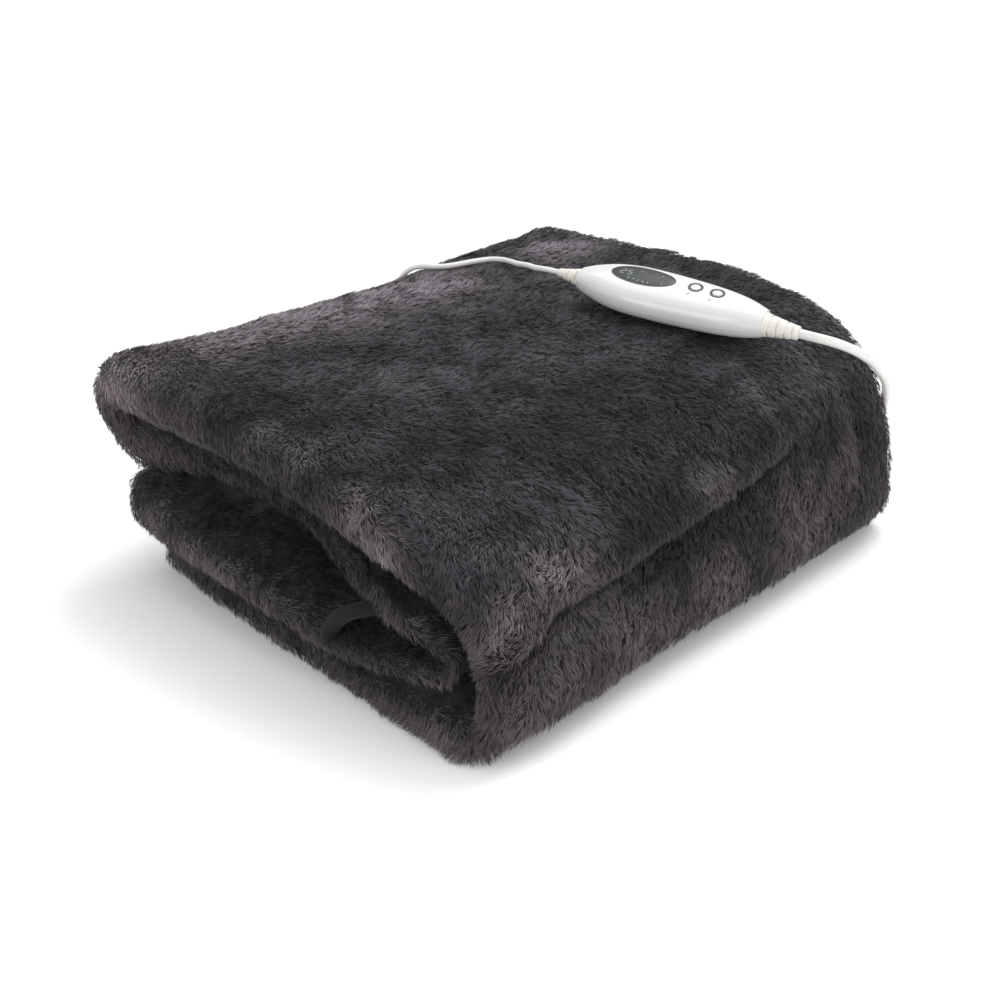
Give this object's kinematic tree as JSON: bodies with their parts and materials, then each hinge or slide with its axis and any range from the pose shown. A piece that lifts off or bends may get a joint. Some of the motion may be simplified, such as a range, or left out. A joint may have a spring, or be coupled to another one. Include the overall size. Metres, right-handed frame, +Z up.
{
  "type": "folded electric blanket with handset",
  "caption": "Plush electric heated blanket folded into a thick stack, with an oval control handset and its leads lying on top.",
  "frame": {"origin": "middle of the folded stack's footprint, on the surface it lies on; the mains lead, its coil and its plug are not counted", "axes": "+Z up; +X along the layered end, towards the fold that wraps the right side; +Y away from the layered end, towards the side where the mains lead goes down"},
  "size_m": [0.3715, 0.5313, 0.1773],
  "materials": {
    "plush": "long soft pile, charcoal with mauve tips",
    "binding_cloth": "smooth woven, matte",
    "handset_plastic": "glossy moulded white",
    "display_window": "dark glossy window",
    "ring_plastic": "satin grey",
    "button_plastic": "glossy moulded white",
    "boot_rubber": "soft matte ivory",
    "cord_sheath": "smooth satin white",
    "plug_plastic": "satin white",
    "pin_metal": "plated, smooth"
  },
  "bodies": {
    "root": {"blanket": "plush", "binding_loop": "binding_cloth", "handset_lower": "handset_plastic", "handset_upper": "handset_plastic", "display_window": "display_window", "button_ring_1": "ring_plastic", "button_ring_2": "ring_plastic", "boot_blanket_lead": "boot_rubber", "boot_mains_lead": "boot_rubber", "blanket_lead": "cord_sheath", "mains_lead": "cord_sheath", "mains_coil": "cord_sheath", "mains_tail": "cord_sheath", "plug_body": "plug_plastic", "plug_pin_1": "pin_metal", "plug_pin_2": "pin_metal"},
    "button_1": {"button_1": "button_plastic"},
    "button_2": {"button_2": "button_plastic"}
  },
  "joints": [
    {"name": "button_1_press", "type": "slide", "parent": "root", "child": "button_1", "axis": [-0.1429, 0.2396, -0.9603], "range_m": [0, 0.0008], "stiffness_N_per_m": 300},
    {"name": "button_2_press", "type": "slide", "parent": "root", "child": "button_2", "axis": [-0.1429, 0.2396, -0.9603], "range_m": [0, 0.0008], "stiffness_N_per_m": 300}
  ]
}
